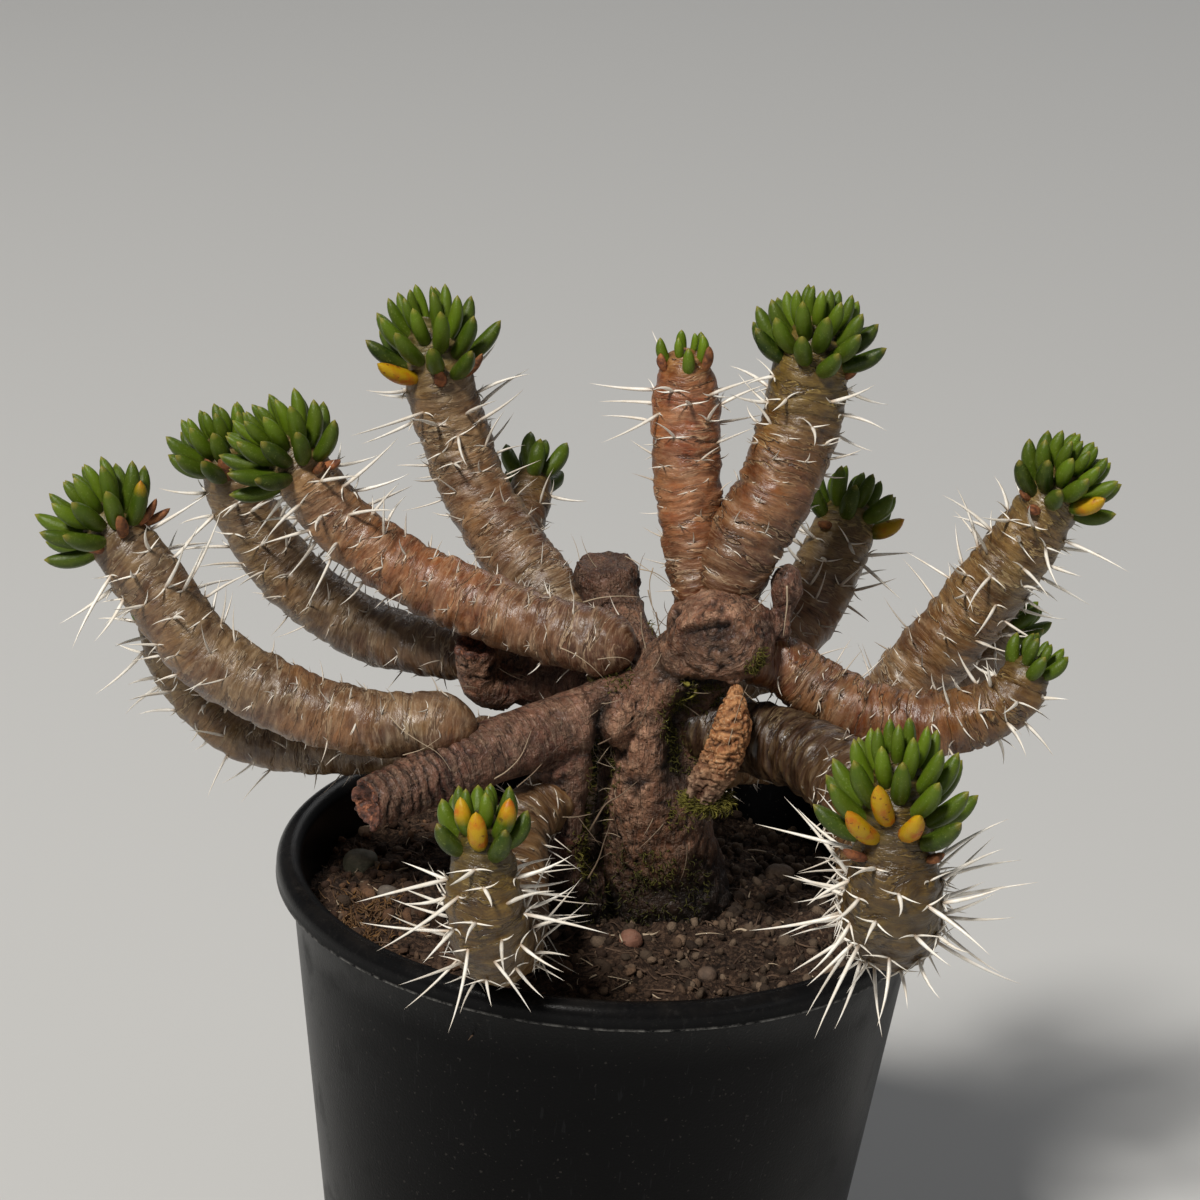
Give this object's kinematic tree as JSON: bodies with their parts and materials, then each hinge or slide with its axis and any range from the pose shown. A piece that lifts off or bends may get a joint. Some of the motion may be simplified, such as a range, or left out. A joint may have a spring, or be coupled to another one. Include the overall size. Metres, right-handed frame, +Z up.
{
  "type": "potted Maihuenia poeppigii",
  "caption": "Low cushion cactus with a gnarled woody trunk, spreading finger-like spined stems and tufts of plump green leaves at their tips, in a round tapered nursery pot filled with grit.",
  "frame": {"origin": "centre of the pot's underside, the face it stands on", "axes": "+Z up, along the pot's axis; -Y towards the viewer, the side the picture shows; +X to the viewer's right"},
  "size_m": [0.1895, 0.156, 0.2131],
  "materials": {
    "pot": "black moulded plastic with a soft sheen, fine scuffs and dust",
    "soil": "matte, damp brown peat with fine grit",
    "bark": "rough reddish-brown bark with cracks, moss and rootlets",
    "dried_wood": "orange-brown, dry and flaking",
    "stem_skin": "tan papery skin with ring wrinkles, peeling fibres and ivory spines",
    "leaf": "satin mid-green, paler towards the pointed tip",
    "pebble_green": "matte olive-grey stone",
    "pebble_grey": "matte grey stone",
    "pebble_pink": "matte pink-brown stone",
    "pebble_tan": "matte tan stone",
    "pebble_brown": "matte brown stone"
  },
  "bodies": {
    "root": {"pot": "pot", "soil": "soil", "woody_trunk": "bark", "dried_branchlet": "dried_wood", "stem_far_left": "stem_skin", "stem_far_left_low": "stem_skin", "stem_left_back": "stem_skin", "stem_left_middle": "stem_skin", "stem_upper_left": "stem_skin", "stem_small_back": "stem_skin", "stem_upright_thin": "stem_skin", "stem_upright_thick": "stem_skin", "stem_right_behind": "stem_skin", "stem_far_right": "stem_skin", "stem_far_right_low": "stem_skin", "stem_right_front": "stem_skin", "stem_front_right": "stem_skin", "stem_front_left": "stem_skin", "tuft_far_left": "leaf", "tuft_far_left_low": "leaf", "tuft_left_back": "leaf", "tuft_left_middle": "leaf", "tuft_upper_left": "leaf", "tuft_small_back": "leaf", "tuft_upright_thin": "leaf", "tuft_upright_thick": "leaf", "tuft_right_behind": "leaf", "tuft_far_right": "leaf", "tuft_far_right_low": "leaf", "tuft_right_front": "leaf", "tuft_front_right": "leaf", "tuft_front_left": "leaf", "pebble_green": "pebble_green", "pebble_grey": "pebble_grey", "pebble_pink": "pebble_pink", "pebble_tan": "pebble_tan", "pebble_brown": "pebble_brown"}
  },
  "joints": []
}
